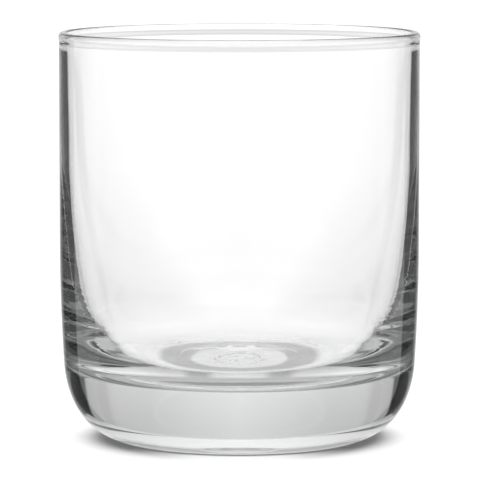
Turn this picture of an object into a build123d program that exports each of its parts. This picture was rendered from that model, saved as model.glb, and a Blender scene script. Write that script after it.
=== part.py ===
"""Whiskey tumbler: one piece of clear glass with a fire-polished lip, a wall that
thickens towards a heavy solid base with a nearly flat floor, a rounded foot and a
very shallow punt underneath.

Millimetres, +Z up, origin at the centre of the circle that the foot stands on.
The glass is one turned outline, with three small raised dots of the mould mark added.
"""

import os

from build123d import *

# Driving dimensions
HEIGHT = 95.0
BODY_RADIUS = 42.0          # outside, over the straight upper wall
LIP_THICKNESS = 1.75
BASE_THICKNESS = 14.75      # from the table to the lowest ring of the inside floor

# Outside of the foot and wall
FOOT_INNER_RADIUS = 24.0    # the flat ring that the glass stands on
FOOT_OUTER_RADIUS = 27.0
CORNER_TOP_Z = 17.5         # where the rounded foot meets the wall
CORNER_TOP_RADIUS = BODY_RADIUS - 0.9
CORNER_PULL_OUT = 8.0       # length of the curve's handle along the table
CORNER_PULL_DOWN = 9.5      # length of its handle down the wall
WALL_LEAN = 0.065           # radius gained per height at the corner's top
STRAIGHT_FROM_Z = 46.0      # above this the outside is a plain cylinder
STRAIGHT_PULL = 9.0         # length of the handles between corner and cylinder

# Lip
LIP_BEAD = 0.12             # how far the fire-polished bead stands proud on each side
LIP_BEAD_DEPTH = 3.0        # how far down from the top the bead fades out
LIP_BEAD_PULL = 0.9
LIP_ROUND_DEPTH = 0.6 * LIP_THICKNESS
LIP_ROUND_PULL = 0.33 * LIP_THICKNESS

# Inside of the wall and floor
WALL_BLEND_Z = 65.0         # below this the wall thickens more quickly
WALL_BLEND_THICKNESS = 2.35
WALL_BLEND_PULL = 18.0
HEEL_TOP_Z = 25.1           # where the wall turns into the heel
HEEL_TOP_RADIUS = 34.75
HEEL_TOP_LEAN = 0.4         # radius gained per height there
HEEL_PULL = 5.9
LOWEST_RADIUS = 16.7        # the lowest ring of the inside floor
LOWEST_PULL_OUT = 13.8
LOWEST_PULL_IN = 14.0
FLOOR_DOME = 0.86           # rise of the floor from its lowest ring to its centre
FLOOR_DOME_PULL = 6.8

# Punt under the base
PUNT_DEPTH = 0.4
PUNT_DISC_RADIUS = 12.1
PUNT_STEP_RADIUS = 15.3
PUNT_STEP_Z = 0.12

# Mould mark: a thin ring and three dots, raised downwards from the punt's disc
MARK_HEIGHT = 0.25
MARK_RING_RADIUS = 5.6      # to the middle of the ring
MARK_RING_WIDTH = 0.6
MARK_SLOPE = 0.3            # width of the slope on each side of the ring
MARK_DOT_RADIUS = 0.8
MARK_DOT_CIRCLE = 2.7
MARK_DOTS = 3


def outside_edges():
    """From the foot's flat ring out round the corner and up to the lip's bead."""
    foot = (FOOT_OUTER_RADIUS, 0)
    corner = (CORNER_TOP_RADIUS, CORNER_TOP_Z)
    straight = (BODY_RADIUS, STRAIGHT_FROM_Z)
    bead = (BODY_RADIUS, HEIGHT - LIP_BEAD_DEPTH)
    return [
        Bezier(
            foot,
            (foot[0] + CORNER_PULL_OUT, 0),
            (corner[0] - WALL_LEAN * CORNER_PULL_DOWN, corner[1] - CORNER_PULL_DOWN),
            corner,
        ),
        Bezier(
            corner,
            (corner[0] + WALL_LEAN * STRAIGHT_PULL, corner[1] + STRAIGHT_PULL),
            (straight[0], straight[1] - STRAIGHT_PULL),
            straight,
        ),
        Line(straight, bead),
    ]


def lip_edges():
    """Over the lip, from the outside of the bead to the inside."""
    outer = BODY_RADIUS
    inner = BODY_RADIUS - LIP_THICKNESS
    middle = (outer + inner) / 2
    start_z = HEIGHT - LIP_BEAD_DEPTH
    round_z = HEIGHT - LIP_ROUND_DEPTH
    outer_bead = outer + LIP_BEAD
    inner_bead = inner - LIP_BEAD
    return [
        Bezier(
            (outer, start_z),
            (outer, start_z + LIP_BEAD_PULL),
            (outer_bead, round_z - LIP_BEAD_PULL),
            (outer_bead, round_z),
        ),
        Bezier(
            (outer_bead, round_z),
            (outer_bead, round_z + LIP_ROUND_PULL),
            (middle + LIP_ROUND_PULL, HEIGHT),
            (middle, HEIGHT),
        ),
        Bezier(
            (middle, HEIGHT),
            (middle - LIP_ROUND_PULL, HEIGHT),
            (inner_bead, round_z + LIP_ROUND_PULL),
            (inner_bead, round_z),
        ),
        Bezier(
            (inner_bead, round_z),
            (inner_bead, round_z - LIP_BEAD_PULL),
            (inner, start_z + LIP_BEAD_PULL),
            (inner, start_z),
        ),
    ]


def inside_edges():
    """Down the inside of the wall, round the heel and in over the floor's dome."""
    top = (BODY_RADIUS - LIP_THICKNESS, HEIGHT - LIP_BEAD_DEPTH)
    blend = (BODY_RADIUS - WALL_BLEND_THICKNESS, WALL_BLEND_Z)
    heel = (HEEL_TOP_RADIUS, HEEL_TOP_Z)
    lowest = (LOWEST_RADIUS, BASE_THICKNESS)
    floor_centre = (0, BASE_THICKNESS + FLOOR_DOME)
    lean = (top[0] - blend[0]) / (top[1] - blend[1])
    return [
        Line(top, blend),
        Bezier(
            blend,
            (blend[0] - lean * WALL_BLEND_PULL, blend[1] - WALL_BLEND_PULL),
            (heel[0] + HEEL_TOP_LEAN * HEEL_PULL, heel[1] + HEEL_PULL),
            heel,
        ),
        Bezier(
            heel,
            (heel[0] - HEEL_TOP_LEAN * HEEL_PULL, heel[1] - HEEL_PULL),
            (lowest[0] + LOWEST_PULL_OUT, lowest[1]),
            lowest,
        ),
        Bezier(
            lowest,
            (lowest[0] - LOWEST_PULL_IN, lowest[1]),
            (FLOOR_DOME_PULL, floor_centre[1]),
            floor_centre,
        ),
    ]


def underside_edges():
    """From the punt's centre out over the mark's ring to the foot's flat ring."""
    ring_inner = MARK_RING_RADIUS - MARK_RING_WIDTH / 2
    ring_outer = MARK_RING_RADIUS + MARK_RING_WIDTH / 2
    ring_z = PUNT_DEPTH - MARK_HEIGHT
    return Polyline(
        (0, PUNT_DEPTH),
        (ring_inner - MARK_SLOPE, PUNT_DEPTH),
        (ring_inner, ring_z),
        (ring_outer, ring_z),
        (ring_outer + MARK_SLOPE, PUNT_DEPTH),
        (PUNT_DISC_RADIUS, PUNT_DEPTH),
        (PUNT_STEP_RADIUS, PUNT_STEP_Z),
        (FOOT_INNER_RADIUS, 0),
        (FOOT_OUTER_RADIUS, 0),
    ).edges()


def glass_body():
    """The outline above, turned through a full circle."""
    axis = Line((0, BASE_THICKNESS + FLOOR_DOME), (0, PUNT_DEPTH))
    outline = Wire(
        outside_edges() + lip_edges() + inside_edges() + [axis] + underside_edges()
    )
    section = Plane.XZ * Face(outline)
    return revolve(section, Axis.Z)


def mark_dots():
    """Blunt cones standing down from the punt's disc, rooted a little in the glass."""
    dot = Cone(
        bottom_radius=MARK_DOT_RADIUS - MARK_SLOPE,
        top_radius=MARK_DOT_RADIUS + MARK_SLOPE,
        height=2 * MARK_HEIGHT,
        align=(Align.CENTER, Align.CENTER, Align.MIN),
    )
    seat = Pos(0, 0, PUNT_DEPTH - MARK_HEIGHT)
    return [seat * place * dot for place in PolarLocations(MARK_DOT_CIRCLE, MARK_DOTS)]


glass = glass_body()
for mark_dot in mark_dots():
    glass += mark_dot
os.makedirs("parts", exist_ok=True)
export_step(glass, "parts/glass.step")
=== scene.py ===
"""Whiskey tumbler: clear glass on a pale floor, in the same frame as the CAD (metres)."""

import math

import bpy
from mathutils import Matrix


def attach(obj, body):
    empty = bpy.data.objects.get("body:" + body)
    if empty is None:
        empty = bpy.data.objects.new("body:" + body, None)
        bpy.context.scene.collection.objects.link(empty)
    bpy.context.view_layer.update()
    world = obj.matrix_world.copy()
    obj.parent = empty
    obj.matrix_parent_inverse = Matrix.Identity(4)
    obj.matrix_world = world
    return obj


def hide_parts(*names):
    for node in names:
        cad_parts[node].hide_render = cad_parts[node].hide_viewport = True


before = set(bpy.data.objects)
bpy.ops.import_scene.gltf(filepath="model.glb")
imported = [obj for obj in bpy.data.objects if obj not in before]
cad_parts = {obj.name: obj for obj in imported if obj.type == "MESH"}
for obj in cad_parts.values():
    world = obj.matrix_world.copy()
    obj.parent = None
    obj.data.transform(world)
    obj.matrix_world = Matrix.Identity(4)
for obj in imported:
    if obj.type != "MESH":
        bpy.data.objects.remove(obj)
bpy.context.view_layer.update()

MM = 0.001

# ---------------------------------------------------------------- the glass's outline, in mm
HEIGHT = 95.0
BODY_RADIUS = 42.0          # outside, over the straight upper wall
LIP_THICKNESS = 1.75
BASE_THICKNESS = 14.75      # from the table to the lowest ring of the inside floor

# Outside of the foot and wall
FOOT_INNER_RADIUS = 24.0    # the flat ring that the glass stands on
FOOT_OUTER_RADIUS = 27.0
CORNER_TOP_Z = 17.5         # where the rounded foot meets the wall
CORNER_TOP_RADIUS = BODY_RADIUS - 0.9
CORNER_PULL_OUT = 8.0       # length of the curve's handle along the table
CORNER_PULL_DOWN = 9.5      # length of its handle down the wall
WALL_LEAN = 0.065           # radius gained per height at the corner's top
STRAIGHT_FROM_Z = 46.0      # above this the outside is a plain cylinder
STRAIGHT_PULL = 9.0

# Lip
LIP_BEAD = 0.12             # how far the fire-polished bead stands proud on each side
LIP_BEAD_DEPTH = 3.0        # how far down from the top the bead fades out
LIP_BEAD_PULL = 0.9
LIP_ROUND_DEPTH = 0.6 * LIP_THICKNESS
LIP_ROUND_PULL = 0.33 * LIP_THICKNESS

# Inside of the wall and floor
WALL_BLEND_Z = 65.0         # below this the wall thickens more quickly
WALL_BLEND_THICKNESS = 2.35
WALL_BLEND_PULL = 18.0
HEEL_TOP_Z = 25.1           # where the wall turns into the heel
HEEL_TOP_RADIUS = 34.75
HEEL_TOP_LEAN = 0.4         # radius gained per height there
HEEL_PULL = 5.9
LOWEST_RADIUS = 16.7        # the lowest ring of the inside floor
LOWEST_PULL_OUT = 13.8
LOWEST_PULL_IN = 14.0
FLOOR_DOME = 0.86           # rise of the inside floor from its lowest ring to its centre
FLOOR_DOME_PULL = 6.8

# Punt under the base, with edges softened over a short slope
PUNT_DEPTH = 0.4
PUNT_DISC_RADIUS = 12.1
PUNT_STEP_RADIUS = 15.3
PUNT_STEP_Z = 0.12
EDGE_HALF = 0.4             # half the width of a softened edge
DISC_EDGE_OUT = 0.5
DISC_EDGE_DROP = 0.05
STEP_EDGE_RISE = 0.08
STEP_EDGE_DROP = 0.04
FOOT_EDGE_HALF = 0.3
FOOT_EDGE_RISE = 0.04

# Mould mark: a thin ring and three dots, raised downwards from the punt's disc
MARK_HEIGHT = 0.25
MARK_RING_RADIUS = 5.6
MARK_RING_WIDTH = 0.6
MARK_SLOPE = 0.3
MARK_DOT_RADIUS = 0.8
MARK_DOT_CIRCLE = 2.7
MARK_DOTS = 3

# Fineness of the mesh
SEGMENTS = 288              # steps round the turned body
DISC_STEPS = 20
SLOPE_STEPS = 10
RING_STEPS = 8
EDGE_STEPS = 3
FOOT_STEPS = 6
CORNER_STEPS = 48
LOWER_WALL_STEPS = 28
WALL_STEPS = 24
BEAD_STEPS = 6
LIP_STEPS = 8
INNER_WALL_STEPS = 48
HEEL_STEPS = 56
FLOOR_STEPS = 28

# ---------------------------------------------------------------- finish and light
GLASS_IOR = 1.52
GLASS_TINT = (0.97, 0.972, 0.971, 1)
GLASS_ABSORPTION = 80.0     # per metre
RIDGE_DEPTH = 0.035         # mm, of the fine ridges in the heel
SLOW_DEPTH = 0.02           # mm, of the slow unevenness everywhere
RIDGE_STRETCH = (0.05, 0.05, 0.42)
SLOW_SCALE = 0.06

LAMP_PASSED = 0.98          # share of the lamp's light that clear glass lets through to the floor
CORNER_PASSED = 0.12        # the same under the rounded corner
BOUNCED_OPEN = 0.93         # how open the corner is for floor that is seen in or through the glass

BOUNCED = 0.5               # ray depths above these count as bent or reflected once,
FOLDED = 2.5                # three times,
DEEP = 7.5                  # eight times
DEEPER = 10.5               # and eleven times
DEEP_LEVEL = 0.36           # what a ray sees once it is deep: the floor's painted level and the studio's level
DEEPER_DROP = 0.1           # painted shade: what the floor's colour loses once it is deeper

FLOOR_HALF = 12.0           # m
FLOOR_DROP = 0.0001         # m, so that the floor and the foot don't coincide
FLOOR_WHITE = 0.9
FLOOR_GLOSS = 0.05
FLOOR_ROUGHNESS = 0.12
MIRROR_SIDE = 0.037         # m, where the bearing of the floor seen in the outside is taken from
MIRROR_FRONT = 0.015
PAINTED_FLAG_SIDE = 0.052          # m, the same for the painted flags on the floor seen through the wall

FLANK_LEVEL = 0.84          # of the flanks that only folded rays see
LAMP_STRENGTH = 2.4
LAMP_SPREAD = 75            # degrees

CAMERA_DISTANCE = 0.9       # m
CAMERA_ELEVATION = 5.84     # degrees
CAMERA_AIM = (0.00014, 0.0, 0.0462)
CAMERA_LENS = 288.4         # mm
CAMERA_SENSOR = 36
CAMERA_NEAR = 0.01          # m
CAMERA_FAR = 100

BOUNCES = 32
GLOSSY_BOUNCES = 28
TRANSPARENT_BOUNCES = 16

# What a ramp's whole length stands for
HALF_TURN = 180             # degrees
QUARTER_TURN = 90
METRE = 1000                # mm
FAR_REACH = 4.0             # m


# ---------------------------------------------------------------- outline
def curve(a, b, c, d, steps):
    """Points of a cubic curve after its first point."""
    points = []
    for i in range(1, steps + 1):
        t = i / steps
        s = 1 - t
        w = (s * s * s, 3 * s * s * t, 3 * s * t * t, t * t * t)
        points.append(tuple(w[0] * a[k] + w[1] * b[k] + w[2] * c[k] + w[3] * d[k] for k in (0, 1)))
    return points


def straight(a, b, steps):
    """Points of a straight run after its first point."""
    return [tuple(a[k] + (b[k] - a[k]) * i / steps for k in (0, 1)) for i in range(1, steps + 1)]


def underside():
    """From the punt's centre out to the foot's flat ring."""
    stops = [
        (PUNT_DISC_RADIUS - EDGE_HALF, PUNT_DEPTH, DISC_STEPS),
        (PUNT_DISC_RADIUS + DISC_EDGE_OUT, PUNT_DEPTH - DISC_EDGE_DROP, EDGE_STEPS),
        (PUNT_STEP_RADIUS - EDGE_HALF, PUNT_STEP_Z + STEP_EDGE_RISE, SLOPE_STEPS),
        (PUNT_STEP_RADIUS + EDGE_HALF, PUNT_STEP_Z - STEP_EDGE_DROP, EDGE_STEPS),
        (FOOT_INNER_RADIUS - FOOT_EDGE_HALF, FOOT_EDGE_RISE, RING_STEPS),
        (FOOT_INNER_RADIUS + FOOT_EDGE_HALF, 0.0, EDGE_STEPS),
        (FOOT_OUTER_RADIUS, 0.0, FOOT_STEPS),
    ]
    points = [(0.0, PUNT_DEPTH)]
    for radius, z, steps in stops:
        points += straight(points[-1], (radius, z), steps)
    return points


def outside(foot):
    """From the foot's flat ring out round the corner and up to the lip's bead."""
    corner = (CORNER_TOP_RADIUS, CORNER_TOP_Z)
    top = (BODY_RADIUS, STRAIGHT_FROM_Z)
    bead = (BODY_RADIUS, HEIGHT - LIP_BEAD_DEPTH)
    points = curve(
        foot,
        (foot[0] + CORNER_PULL_OUT, 0),
        (corner[0] - WALL_LEAN * CORNER_PULL_DOWN, corner[1] - CORNER_PULL_DOWN),
        corner,
        CORNER_STEPS,
    )
    points += curve(
        corner,
        (corner[0] + WALL_LEAN * STRAIGHT_PULL, corner[1] + STRAIGHT_PULL),
        (top[0], top[1] - STRAIGHT_PULL),
        top,
        LOWER_WALL_STEPS,
    )
    return points + straight(top, bead, WALL_STEPS)


def lip():
    """Over the lip, from the outside of the bead to the inside."""
    outer = BODY_RADIUS
    inner = BODY_RADIUS - LIP_THICKNESS
    middle = (outer + inner) / 2
    start_z = HEIGHT - LIP_BEAD_DEPTH
    round_z = HEIGHT - LIP_ROUND_DEPTH
    outer_bead = outer + LIP_BEAD
    inner_bead = inner - LIP_BEAD
    points = curve(
        (outer, start_z),
        (outer, start_z + LIP_BEAD_PULL),
        (outer_bead, round_z - LIP_BEAD_PULL),
        (outer_bead, round_z),
        BEAD_STEPS,
    )
    points += curve(
        (outer_bead, round_z),
        (outer_bead, round_z + LIP_ROUND_PULL),
        (middle + LIP_ROUND_PULL, HEIGHT),
        (middle, HEIGHT),
        LIP_STEPS,
    )
    points += curve(
        (middle, HEIGHT),
        (middle - LIP_ROUND_PULL, HEIGHT),
        (inner_bead, round_z + LIP_ROUND_PULL),
        (inner_bead, round_z),
        LIP_STEPS,
    )
    points += curve(
        (inner_bead, round_z),
        (inner_bead, round_z - LIP_BEAD_PULL),
        (inner, start_z + LIP_BEAD_PULL),
        (inner, start_z),
        BEAD_STEPS,
    )
    return points


def inside():
    """Down the inside of the wall, round the heel and in over the floor's dome."""
    top = (BODY_RADIUS - LIP_THICKNESS, HEIGHT - LIP_BEAD_DEPTH)
    blend = (BODY_RADIUS - WALL_BLEND_THICKNESS, WALL_BLEND_Z)
    heel = (HEEL_TOP_RADIUS, HEEL_TOP_Z)
    lowest = (LOWEST_RADIUS, BASE_THICKNESS)
    centre = (0.0, BASE_THICKNESS + FLOOR_DOME)
    lean = (top[0] - blend[0]) / (top[1] - blend[1])
    points = straight(top, blend, WALL_STEPS)
    points += curve(
        blend,
        (blend[0] - lean * WALL_BLEND_PULL, blend[1] - WALL_BLEND_PULL),
        (heel[0] + HEEL_TOP_LEAN * HEEL_PULL, heel[1] + HEEL_PULL),
        heel,
        INNER_WALL_STEPS,
    )
    points += curve(
        heel,
        (heel[0] - HEEL_TOP_LEAN * HEEL_PULL, heel[1] - HEEL_PULL),
        (lowest[0] + LOWEST_PULL_OUT, lowest[1]),
        lowest,
        HEEL_STEPS,
    )
    points += curve(
        lowest,
        (lowest[0] - LOWEST_PULL_IN, lowest[1]),
        (FLOOR_DOME_PULL, centre[1]),
        centre,
        FLOOR_STEPS,
    )
    return points


def sloped(distance_past_edge):
    """1 on the mould mark, 0 off it, and even between over its sloping side."""
    return min(1.0, max(0.0, 1 - distance_past_edge / MARK_SLOPE))


def mark_drop(radius, angle):
    """How far the mould mark reaches down from the punt's disc at a place, in mm."""
    drop = sloped(abs(radius - MARK_RING_RADIUS) - MARK_RING_WIDTH / 2)
    for i in range(MARK_DOTS):
        around = 2 * math.pi * i / MARK_DOTS
        gap = math.hypot(
            radius * math.cos(angle) - MARK_DOT_CIRCLE * math.cos(around),
            radius * math.sin(angle) - MARK_DOT_CIRCLE * math.sin(around),
        )
        depth = (MARK_DOT_RADIUS + MARK_SLOPE - gap) / (2 * MARK_SLOPE)
        drop = max(drop, min(1.0, max(0.0, depth)))
    return MARK_HEIGHT * drop


def turned_points(outline, marked_rings):
    """The outline's points turned round the axis; the mark stands down from the first rings."""
    points = [(0.0, 0.0, outline[0][1] * MM)]
    for ring, (radius, z) in enumerate(outline[1:-1], start=1):
        for k in range(SEGMENTS):
            angle = 2 * math.pi * k / SEGMENTS
            height = z - mark_drop(radius, angle) if ring < marked_rings else z
            points.append((radius * math.cos(angle) * MM, radius * math.sin(angle) * MM, height * MM))
    points.append((0.0, 0.0, outline[-1][1] * MM))
    return points


def turned_faces(rings):
    """Faces between neighbouring rings, and a fan at each end of the axis."""
    faces = []
    last_point = 1 + rings * SEGMENTS
    last_ring = last_point - SEGMENTS
    for k in range(SEGMENTS):
        n = (k + 1) % SEGMENTS
        faces.append((0, 1 + n, 1 + k))
        for i in range(rings - 1):
            low = 1 + i * SEGMENTS
            high = low + SEGMENTS
            faces.append((low + k, low + n, high + n, high + k))
        faces.append((last_ring + k, last_ring + n, last_point))
    return faces


def turned_body(name):
    """The whole outline turned into one closed mesh."""
    under = underside()
    outline = under + outside(under[-1]) + lip() + inside()
    mesh = bpy.data.meshes.new(name)
    mesh.from_pydata(turned_points(outline, DISC_STEPS), [], turned_faces(len(outline) - 2))
    mesh.update()
    mesh.shade_smooth()
    body = bpy.data.objects.new(name, mesh)
    bpy.context.scene.collection.objects.link(body)
    return body


# ---------------------------------------------------------------- node helpers
def new_tree(owner):
    owner.use_nodes = True
    owner.node_tree.nodes.clear()
    return owner.node_tree


def add(tree, kind, **values):
    node = tree.nodes.new(kind)
    for key, value in values.items():
        setattr(node, key, value)
    return node


def maths(tree, operation, *inputs):
    node = add(tree, "ShaderNodeMath", operation=operation)
    for i, value in enumerate(inputs):
        if hasattr(value, "is_output"):
            tree.links.new(value, node.inputs[i])
        else:
            node.inputs[i].default_value = value
    return node.outputs[0]


def product(tree, first, *others):
    for other in others:
        first = maths(tree, "MULTIPLY", first, other)
    return first


def largest(tree, first, *others):
    for other in others:
        first = maths(tree, "MAXIMUM", first, other)
    return first


def blend(tree, base, other, share):
    """base where share is 0, other where it is 1."""
    kept = maths(tree, "MULTIPLY", base, maths(tree, "SUBTRACT", 1.0, share))
    return maths(tree, "ADD", kept, maths(tree, "MULTIPLY", other, share))


def ramp(tree, value, whole, stops):
    """A level that follows value through (place, level) stops; value 1 is the place whole."""
    node = add(tree, "ShaderNodeValToRGB")
    elements = node.color_ramp.elements
    elements[0].position = stops[0][0] / whole
    elements[1].position = stops[-1][0] / whole
    elements[0].color = (stops[0][1],) * 3 + (1,)
    elements[1].color = (stops[-1][1],) * 3 + (1,)
    for place, level in stops[1:-1]:
        elements.new(place / whole).color = (level,) * 3 + (1,)
    tree.links.new(value, node.inputs[0])
    return node.outputs[0]


def parts_of(tree, vector):
    split = add(tree, "ShaderNodeSeparateXYZ")
    tree.links.new(vector, split.inputs[0])
    return split.outputs


def half_turns(tree, side, ahead):
    """The angle from straight ahead (+Y) round to the side, as a share of half a turn."""
    return maths(tree, "DIVIDE", maths(tree, "ARCTAN2", side, ahead), math.pi)


def deeper_than(tree, depth, limit):
    return maths(tree, "GREATER_THAN", depth, limit)


def mix_shaders(tree, share, first, second):
    mix = add(tree, "ShaderNodeMixShader")
    if hasattr(share, "is_output"):
        tree.links.new(share, mix.inputs[0])
    else:
        mix.inputs[0].default_value = share
    tree.links.new(first.outputs[0], mix.inputs[1])
    tree.links.new(second.outputs[0], mix.inputs[2])
    return mix


# ---------------------------------------------------------------- glass
def object_place(tree):
    """The place on the piece in mm, with its distance from the axis and its height as shares."""
    place = add(tree, "ShaderNodeTexCoord")
    scale = add(tree, "ShaderNodeVectorMath", operation="SCALE")
    tree.links.new(place.outputs["Object"], scale.inputs[0])
    scale.inputs["Scale"].default_value = 1 / MM
    x, y, z = parts_of(tree, scale.outputs[0])
    squares = maths(tree, "ADD", maths(tree, "MULTIPLY", x, x), maths(tree, "MULTIPLY", y, y))
    radius = maths(tree, "SQRT", squares)
    sideways = maths(tree, "DIVIDE", maths(tree, "ABSOLUTE", x), radius)
    outward = maths(tree, "DIVIDE", radius, BODY_RADIUS)
    upward = maths(tree, "DIVIDE", z, HEIGHT)
    return scale.outputs[0], outward, upward, sideways


def noise(tree, place, scale, detail):
    texture = add(tree, "ShaderNodeTexNoise")
    texture.inputs["Scale"].default_value = scale
    texture.inputs["Detail"].default_value = detail
    tree.links.new(place, texture.inputs["Vector"])
    return texture.outputs[0]


def ripple(tree, place, outward, upward):
    """Fine, nearly level ridges that the mould leaves in the heel, and a slow unevenness everywhere."""
    stretch = add(tree, "ShaderNodeVectorMath", operation="MULTIPLY")
    tree.links.new(place, stretch.inputs[0])
    stretch.inputs[1].default_value = RIDGE_STRETCH
    fine = noise(tree, stretch.outputs[0], 1.0, 2.0)
    slow = noise(tree, place, SLOW_SCALE, 1.0)
    low = ramp(tree, upward, HEIGHT, [
        (0, 0.0), (16.15, 0.0), (19.0, 1.0), (32.3, 1.0), (43.7, 0.12), (HEIGHT, 0.05)])
    outer = ramp(tree, outward, BODY_RADIUS, [(0, 0.0), (28.56, 0.0), (33.6, 1.0), (BODY_RADIUS, 1.0)])
    ridges = product(tree, fine, RIDGE_DEPTH * MM, low, outer)
    relief = maths(tree, "ADD", ridges, maths(tree, "MULTIPLY", slow, SLOW_DEPTH * MM))
    bump = add(tree, "ShaderNodeBump")
    bump.inputs["Strength"].default_value = 1.0
    bump.inputs["Distance"].default_value = 1.0
    tree.links.new(relief, bump.inputs["Height"])
    return bump.outputs[0]


def light_passed(tree, rays, outward, upward, sideways):
    """Share of the lamp's light that reaches the floor: less under the corner and round the punt."""
    above = ramp(tree, upward, HEIGHT, [(0, 0.0), (1.425, 0.0), (6.65, 1.0), (HEIGHT, 1.0)])
    within = ramp(tree, outward, BODY_RADIUS, [
        (0, 0.84), (11.97, 0.84), (12.6, 0.38), (20.16, 0.38), (22.68, 0.97), (27.09, 1.0),
        (28.98, 0.0), (BODY_RADIUS, 0.0)])
    ahead = ramp(tree, sideways, 1, [(0, 1.0), (0.3, 0.9), (0.8, 0.0), (1, 0.0)])
    beyond = ramp(tree, outward, BODY_RADIUS, [(0, 0.0), (29.4, 0.0), (31.5, 1.0), (BODY_RADIUS, 1.0)])
    outer = ramp(tree, outward, BODY_RADIUS, [(0, 0.0), (26.04, 0.0), (27.72, 1.0), (BODY_RADIUS, 1.0)])
    depth = largest(tree, rays.outputs["Transmission Depth"], rays.outputs["Glossy Depth"])
    bounced = product(tree, deeper_than(tree, depth, BOUNCED), BOUNCED_OPEN, outer)
    open_part = largest(tree, above, within, product(tree, ahead, beyond), bounced)
    return maths(tree, "MULTIPLY_ADD", open_part, LAMP_PASSED - CORNER_PASSED, CORNER_PASSED)


def clear_glass():
    """Clear glass; the lamp's light goes straight through it to the floor, dimmed by light_passed."""
    material = bpy.data.materials.new("clear_glass")
    tree = new_tree(material)
    out = add(tree, "ShaderNodeOutputMaterial")
    place, outward, upward, sideways = object_place(tree)
    rays = add(tree, "ShaderNodeLightPath")
    glass = add(tree, "ShaderNodeBsdfGlass")
    glass.inputs["IOR"].default_value = GLASS_IOR
    glass.inputs["Roughness"].default_value = 0.0
    glass.inputs["Color"].default_value = (1, 1, 1, 1)
    tree.links.new(ripple(tree, place, outward, upward), glass.inputs["Normal"])
    clear = add(tree, "ShaderNodeBsdfTransparent")
    tree.links.new(light_passed(tree, rays, outward, upward, sideways), clear.inputs["Color"])
    lamp = largest(tree, rays.outputs["Is Shadow Ray"], rays.outputs["Is Diffuse Ray"])
    surface = mix_shaders(tree, lamp, glass, clear)
    tree.links.new(surface.outputs[0], out.inputs["Surface"])
    depth = add(tree, "ShaderNodeVolumeAbsorption")
    depth.inputs["Color"].default_value = GLASS_TINT
    depth.inputs["Density"].default_value = GLASS_ABSORPTION
    tree.links.new(depth.outputs[0], out.inputs["Volume"])
    return material


# ---------------------------------------------------------------- floor
def painted_floor_in_outside(tree, side, ahead):
    """The floor's painted level where it is mirrored in the outside of the glass, by its bearing: painted
    shade with some painted light.
    """
    beside = maths(tree, "SUBTRACT", side, MIRROR_SIDE)
    behind = maths(tree, "ADD", ahead, MIRROR_FRONT)
    return ramp(tree, half_turns(tree, beside, behind), HALF_TURN, [
        (0, 0.7), (12, 0.55), (18, 0.3), (25, 0.04), (48.5, 0.04), (50.5, 0.7), (70, 1.0), (80, 1.1),
        (82, 0.8), (HALF_TURN, 0.8)])


def painted_far_floor_in_glass(tree, side, ahead, azimuth, reach):
    """The floor's painted level away from the glass for rays that are reflected inside it: painted shade
    in bands that stand for dark flags.
    """
    wide = maths(tree, "SUBTRACT", side, PAINTED_FLAG_SIDE)
    # painted flag: the floor's colour painted dark over a band of bearings
    painted_flag = ramp(tree, half_turns(tree, wide, ahead), HALF_TURN, [
        (0, 1.0), (10, 0.9), (14.5, 0.05), (32.7, 0.05), (35, 0.75), (60, 0.8), (80, 0.4),
        (HALF_TURN, 0.4)])
    around = ramp(tree, azimuth, HALF_TURN, [
        (0, 1.0), (8, 0.9), (20, 0.74), (27, 0.62), (36, 0.6), (75, 0.5), (95, 0.3), (HALF_TURN, 0.05)])
    distant = ramp(tree, maths(tree, "DIVIDE", reach, FAR_REACH), FAR_REACH, [
        (0, 0.0), (1.0, 0.0), (1.2, 1.0), (FAR_REACH, 1.0)])
    return maths(tree, "MINIMUM", largest(tree, painted_flag, distant), around)


def painted_near_floor_in_glass(tree, azimuth, reach):
    """The same for the floor under the glass and close round it: painted shade close in, and painted
    light and shade by bearing on its flanks.
    """
    close = ramp(tree, reach, METRE, [
        (0, 0.72), (21, 0.62), (24, 0.54), (28.5, 0.48), (30.5, 0.9), (32.5, 0.9), (33.5, 0.66),
        (36, 0.62), (39, 0.35), (60, 0.0), (METRE, 0.0)])
    flank = ramp(tree, azimuth, HALF_TURN, [
        (0, 1.0), (85, 1.0), (100, 1.25), (118, 1.2), (135, 1.0), (147, 0.95), (153, 0.55), (161, 0.55),
        (167, 0.95), (HALF_TURN, 1.0)])
    outlying = ramp(tree, reach, METRE, [(0, 0.0), (29, 0.0), (31, 1.0), (METRE, 1.0)])
    return maths(tree, "MULTIPLY", close, blend(tree, 1.0, flank, outlying))


def painted_shade_through_bowl(tree, azimuth, reach):
    """Painted shade: how much darker the floor is painted, off to the side, seen straight through the
    bowl.
    """
    aside = ramp(tree, azimuth, HALF_TURN, [
        (0, 0.0), (6, 0.0), (10, 0.07), (15, 0.12), (25, 0.16), (40, 0.18), (HALF_TURN, 0.18)])
    away = ramp(tree, reach, METRE, [(0, 0.0), (50, 0.0), (90, 1.0), (METRE, 1.0)])
    return maths(tree, "MULTIPLY", aside, away)


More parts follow.
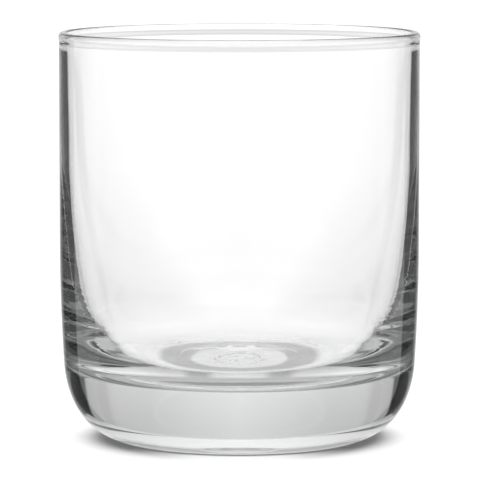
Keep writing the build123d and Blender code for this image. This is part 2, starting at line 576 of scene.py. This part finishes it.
def painted_floor_level(tree):
    """The floor's painted brightness: full where it is seen directly; in and through the glass, painted
    shade and painted studio flags.
    """
    rays = add(tree, "ShaderNodeLightPath")
    reflected = deeper_than(tree, rays.outputs["Glossy Depth"], BOUNCED)
    in_glass = deeper_than(tree, rays.outputs["Transmission Depth"], BOUNCED)
    spot = add(tree, "ShaderNodeNewGeometry")
    across, ahead, _ = parts_of(tree, spot.outputs["Position"])
    side = maths(tree, "ABSOLUTE", across)
    azimuth = half_turns(tree, side, ahead)
    length = add(tree, "ShaderNodeVectorMath", operation="LENGTH")
    tree.links.new(spot.outputs["Position"], length.inputs[0])
    reach = length.outputs["Value"]
    far = painted_far_floor_in_glass(tree, side, ahead, azimuth, reach)
    turned = largest(tree, far, painted_near_floor_in_glass(tree, azimuth, reach))
    turned = blend(tree, turned, DEEP_LEVEL, deeper_than(tree, rays.outputs["Glossy Depth"], DEEP))
    dimmed = maths(tree, "MULTIPLY", deeper_than(tree, rays.outputs["Glossy Depth"], DEEPER), DEEPER_DROP)
    turned = maths(tree, "SUBTRACT", turned, dimmed)
    bounced = blend(tree, painted_floor_in_outside(tree, side, ahead), turned, in_glass)
    straight_through = maths(tree, "MULTIPLY", in_glass, maths(tree, "SUBTRACT", 1.0, reflected))
    shaded = maths(tree, "MULTIPLY", painted_shade_through_bowl(tree, azimuth, reach), straight_through)
    return maths(tree, "SUBTRACT", blend(tree, 1.0, bounced, reflected), shaded)


def floor_material():
    material = bpy.data.materials.new("pale_floor")
    tree = new_tree(material)
    out = add(tree, "ShaderNodeOutputMaterial")
    white = add(tree, "ShaderNodeBsdfDiffuse")
    # the floor's diffuse colour carries painted shade and painted light for rays in and through the glass
    tree.links.new(maths(tree, "MULTIPLY", painted_floor_level(tree), FLOOR_WHITE), white.inputs["Color"])
    gloss = add(tree, "ShaderNodeBsdfGlossy")
    gloss.inputs["Roughness"].default_value = FLOOR_ROUGHNESS
    gloss.inputs["Color"].default_value = (1, 1, 1, 1)
    surface = mix_shaders(tree, FLOOR_GLOSS, white, gloss)
    tree.links.new(surface.outputs[0], out.inputs["Surface"])
    return material


def floor():
    half = FLOOR_HALF
    corners = [(-half, -half, 0), (half, -half, 0), (half, half, 0), (-half, half, 0)]
    mesh = bpy.data.meshes.new("floor")
    mesh.from_pydata(corners, [], [(0, 1, 2, 3)])
    mesh.materials.append(floor_material())
    obj = bpy.data.objects.new("floor", mesh)
    obj.location.z = -FLOOR_DROP
    bpy.context.scene.collection.objects.link(obj)
    return obj


# ---------------------------------------------------------------- studio
def studio_sides(tree, azimuth, height):
    """The studio's walls: bright behind the glass, dark flags at its sides, dim towards the camera."""
    around = ramp(tree, azimuth, HALF_TURN, [
        (0, 1.22), (10, 1.12), (22, 0.96), (33, 0.9), (36, 0.86), (39, 0.7), (51, 0.68), (53, 0.02),
        (70, 0.02), (73, 0.4), (86, 0.4), (105, 0.22), (140, 0.12), (155, 0.05), (HALF_TURN, 0.05)])
    fade = ramp(tree, height, QUARTER_TURN, [
        (0, 1.0), (5, 1.0), (14, 0.86), (30, 0.7), (QUARTER_TURN, 0.7)])
    low = ramp(tree, height, QUARTER_TURN, [(0, 1.0), (2, 1.0), (4.5, 0.0), (QUARTER_TURN, 0.0)])
    open_side = ramp(tree, azimuth, HALF_TURN, [
        (0, 1.0), (12, 1.0), (28, 0.0), (100, 0.0), (130, 1.0), (HALF_TURN, 1.0)])
    horizon = maths(tree, "MULTIPLY", low, open_side)
    return blend(tree, maths(tree, "MULTIPLY", around, fade), 1.0, horizon)


def studio_flanks(tree, azimuth, height, depth):
    """Softly lit flanks that only rays folded up in the heel see in place of the dark flags."""
    raised = ramp(tree, height, QUARTER_TURN, [(0, 0.0), (8, 0.0), (13, 1.0), (QUARTER_TURN, 1.0)])
    nearer = ramp(tree, azimuth, HALF_TURN, [(0, 1.0), (60, 1.0), (65, 0.0), (HALF_TURN, 0.0)])
    beside = ramp(tree, azimuth, HALF_TURN, [
        (0, 0.0), (48, 0.0), (53, 1.0), (78, 1.0), (88, 0.0), (HALF_TURN, 0.0)])
    folded = deeper_than(tree, depth, FOLDED)
    return product(tree, largest(tree, raised, nearer), beside, folded, FLANK_LEVEL)


def studio_level(tree):
    """The studio's brightness by direction; the camera itself sees plain white."""
    rays = add(tree, "ShaderNodeLightPath")
    depth = rays.outputs["Glossy Depth"]
    place = add(tree, "ShaderNodeTexCoord")
    x, y, z = parts_of(tree, place.outputs["Generated"])
    azimuth = half_turns(tree, maths(tree, "ABSOLUTE", x), y)
    height = maths(tree, "DIVIDE", maths(tree, "ARCSINE", z), math.pi / 2)
    overhead = ramp(tree, height, QUARTER_TURN, [
        (0, 0.0), (28, 0.0), (38, 0.5), (55, 0.6), (66, 1.0), (QUARTER_TURN, 1.0)])
    sky = blend(tree, studio_sides(tree, azimuth, height), 1.0, overhead)
    sky = largest(tree, sky, studio_flanks(tree, azimuth, height, depth))
    lofty = ramp(tree, height, QUARTER_TURN, [
        (0, DEEP_LEVEL), (48, DEEP_LEVEL), (62, 0.85), (QUARTER_TURN, 0.85)])
    sky = blend(tree, sky, lofty, deeper_than(tree, depth, DEEP))
    rear = ramp(tree, azimuth, HALF_TURN, [(0, 0.0), (125, 0.0), (140, 0.24), (HALF_TURN, 0.24)])
    low = ramp(tree, height, QUARTER_TURN, [(0, 1.0), (45, 1.0), (55, 0.0), (QUARTER_TURN, 0.0)])
    dimmed = product(tree, deeper_than(tree, depth, DEEPER), rear, low)
    return blend(tree, maths(tree, "SUBTRACT", sky, dimmed), 1.0, rays.outputs["Is Camera Ray"])


def studio_world():
    world = bpy.data.worlds.new("studio")
    bpy.context.scene.world = world
    tree = new_tree(world)
    out = add(tree, "ShaderNodeOutputWorld")
    background = add(tree, "ShaderNodeBackground")
    tree.links.new(studio_level(tree), background.inputs["Strength"])
    tree.links.new(background.outputs[0], out.inputs["Surface"])
    return world


def overhead_light():
    """A broad soft light from above that only the matt floor sees."""
    data = bpy.data.lights.new("overhead", "SUN")
    data.energy = LAMP_STRENGTH
    data.angle = math.radians(LAMP_SPREAD)
    lamp = bpy.data.objects.new("overhead", data)
    bpy.context.scene.collection.objects.link(lamp)
    lamp.location = (0, 0, 1)
    lamp.visible_glossy = False
    lamp.visible_transmission = False
    return lamp


def camera():
    elevation = math.radians(CAMERA_ELEVATION)
    data = bpy.data.cameras.new("camera")
    data.sensor_width = CAMERA_SENSOR
    data.lens = CAMERA_LENS
    data.clip_start = CAMERA_NEAR
    data.clip_end = CAMERA_FAR
    stand = bpy.data.objects.new("camera", data)
    bpy.context.scene.collection.objects.link(stand)
    back = CAMERA_DISTANCE * math.cos(elevation)
    rise = CAMERA_DISTANCE * math.sin(elevation)
    stand.location = (CAMERA_AIM[0], -back, CAMERA_AIM[2] + rise)
    stand.rotation_euler = (math.pi / 2 - elevation, 0, 0)
    bpy.context.scene.camera = stand
    return stand


def render_settings():
    """Enough bounces for light that folds up many times in the heel."""
    scene = bpy.context.scene
    scene.view_settings.view_transform = "Standard"
    scene.cycles.max_bounces = BOUNCES
    scene.cycles.transmission_bounces = BOUNCES
    scene.cycles.glossy_bounces = GLOSSY_BOUNCES
    scene.cycles.transparent_max_bounces = TRANSPARENT_BOUNCES
    scene.cycles.caustics_reflective = False
    scene.cycles.caustics_refractive = False


camera()
floor()
overhead_light()
studio_world()
piece = turned_body("tumbler_glass")
piece.data.materials.append(clear_glass())
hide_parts("glass")
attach(piece, "root")
render_settings()
